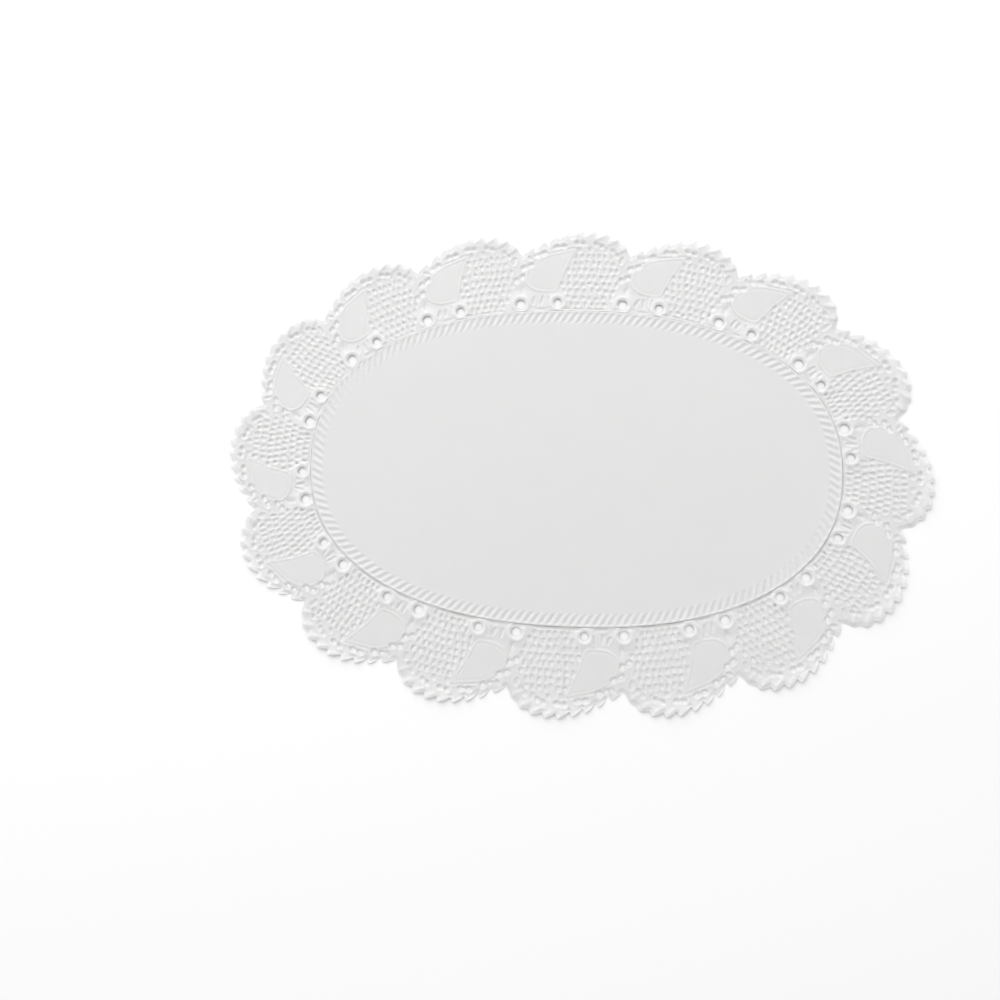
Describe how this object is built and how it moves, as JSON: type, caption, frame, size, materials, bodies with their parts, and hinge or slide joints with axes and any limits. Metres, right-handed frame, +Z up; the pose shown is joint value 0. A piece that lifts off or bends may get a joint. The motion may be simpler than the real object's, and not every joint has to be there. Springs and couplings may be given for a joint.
{
  "type": "oval paper doily",
  "caption": "Flat oval doily of embossed white paper with a plain centre, a ladder band, a lace border with leaves and a scalloped rope edge.",
  "frame": {"origin": "middle of the underside, on the surface the doily lies on", "axes": "+X along the oval's length, +Y across it, +Z up out of the embossed face"},
  "size_m": [0.27, 0.19, 0.0017],
  "materials": {
    "paper": "matt uncoated white paper, embossed"
  },
  "bodies": {
    "root": {"doily": "paper"}
  },
  "joints": []
}
